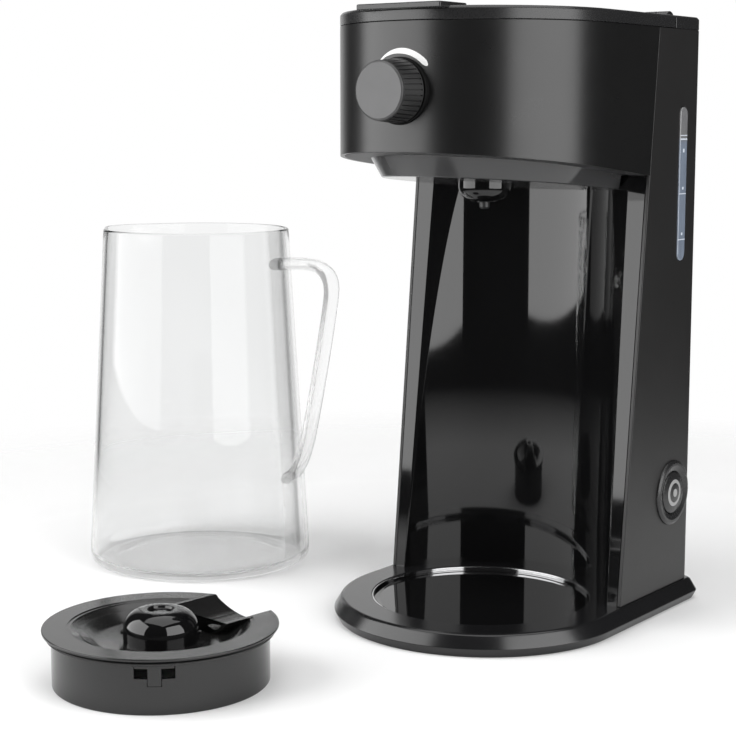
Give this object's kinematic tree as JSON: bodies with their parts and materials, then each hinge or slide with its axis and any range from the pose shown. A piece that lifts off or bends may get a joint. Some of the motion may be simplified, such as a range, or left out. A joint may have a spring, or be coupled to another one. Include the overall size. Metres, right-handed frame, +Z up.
{
  "type": "iced coffee maker",
  "caption": "Free-standing iced coffee maker with a leaning tower, a round head with a strength knob, a hinged lid, a power button and a glass pitcher with its lid beside it.",
  "frame": {"origin": "on the counter, under the centre of the round drip well, at the middle rubber foot", "axes": "+Z up, -Y towards the front with the knob, +X towards the side with the power button"},
  "size_m": [0.398, 0.3895, 0.362],
  "materials": {
    "base": "glossy black moulded base",
    "tower": "satin black side panels",
    "band": "satin black brushed band",
    "bay": "mirror gloss black bay wall",
    "trim": "semi-gloss dark grey plastic",
    "inner": "dark moulded inner plastic",
    "pale_plastic": "natural heat resistant plastic",
    "mesh": "fine steel mesh",
    "knob": "ribbed satin black grip",
    "knob_face": "spun satin grey face",
    "steel": "plated steel",
    "aluminium": "bare heater extrusion",
    "rubber": "black rubber",
    "silicone": "pale silicone",
    "tank": "translucent smoky plastic",
    "window": "clear moulded window",
    "pitcher": "clear blown glass",
    "cap": "satin dark grey plastic",
    "cap_dome": "gloss black dome"
  },
  "bodies": {
    "machine": {"base_plate": "base", "bottom_cover": "inner", "rubber_feet": "rubber", "base_screws": "steel", "drip_plate": "bay", "tower_left": "tower", "tower_right": "tower", "rear_cover": "tower", "tower_screws": "steel", "dock_wall": "bay", "head_shell": "band", "head_floor": "inner", "outlet_collar": "trim", "inner_deck": "inner", "brew_basket": "inner", "basket_filter": "mesh", "drip_outlet": "bay", "valve_spring": "steel", "knob_bushing": "trim", "switch_bezel": "trim", "switch_housing": "pale_plastic", "button_spring": "steel", "water_tank": "tank", "water_window": "window", "riser_pipe": "silicone", "heater_tube": "aluminium", "heater_bracket": "aluminium", "thermostat": "pale_plastic", "thermal_fuse": "pale_plastic", "inlet_hose": "silicone", "outlet_hose": "silicone", "check_valve": "pale_plastic", "cord_gland": "rubber", "top_deck": "tower", "hinge_pins": "steel"},
    "lid": {"top_lid": "tower", "lid_liner": "inner", "spray_head": "inner"},
    "knob": {"strength_knob": "knob", "knob_cap": "knob_face", "knob_shaft": "steel", "strength_gate": "pale_plastic"},
    "button": {"button_cap": "trim", "button_plunger": "pale_plastic"},
    "drip_valve": {"valve_plunger": "pale_plastic", "valve_seal": "silicone"},
    "pitcher": {"pitcher_glass": "pitcher", "pitcher_handle": "pitcher"},
    "pitcher_lid": {"pitcher_cap": "cap", "cap_skirt": "cap", "cap_dome": "cap_dome", "cap_gasket": "silicone", "cap_latch": "cap"}
  },
  "joints": [
    {"name": "lid_hinge", "type": "hinge", "parent": "machine", "child": "lid", "pos_m": [0, 0.082, 0.35649], "axis": [-1, 0, 0], "range_deg": [0, 100]},
    {"name": "knob_turn", "type": "hinge", "parent": "machine", "child": "knob", "pos_m": [0, -0.09, 0.31399], "axis": [0, -1, 0], "range_deg": [-60, 60]},
    {"name": "button_press", "type": "slide", "parent": "machine", "child": "button", "axis": [-1, 0, 0], "range_m": [0, 0.003], "stiffness_N_per_m": 400, "springref_m": -0.001, "deforming": ["button_spring"]},
    {"name": "drip_valve_lift", "type": "slide", "parent": "machine", "child": "drip_valve", "axis": [0, 0, 1], "range_m": [0, 0.004], "stiffness_N_per_m": 300, "springref_m": -0.002, "deforming": ["valve_spring"]},
    {"name": "pitcher_lift", "type": "slide", "parent": "machine", "child": "pitcher", "axis": [0, 0, 1], "range_m": [0, 0.25]},
    {"name": "pitcher_lid_lift", "type": "slide", "parent": "machine", "child": "pitcher_lid", "axis": [0, 0, 1], "range_m": [0, 0.1]}
  ]
}
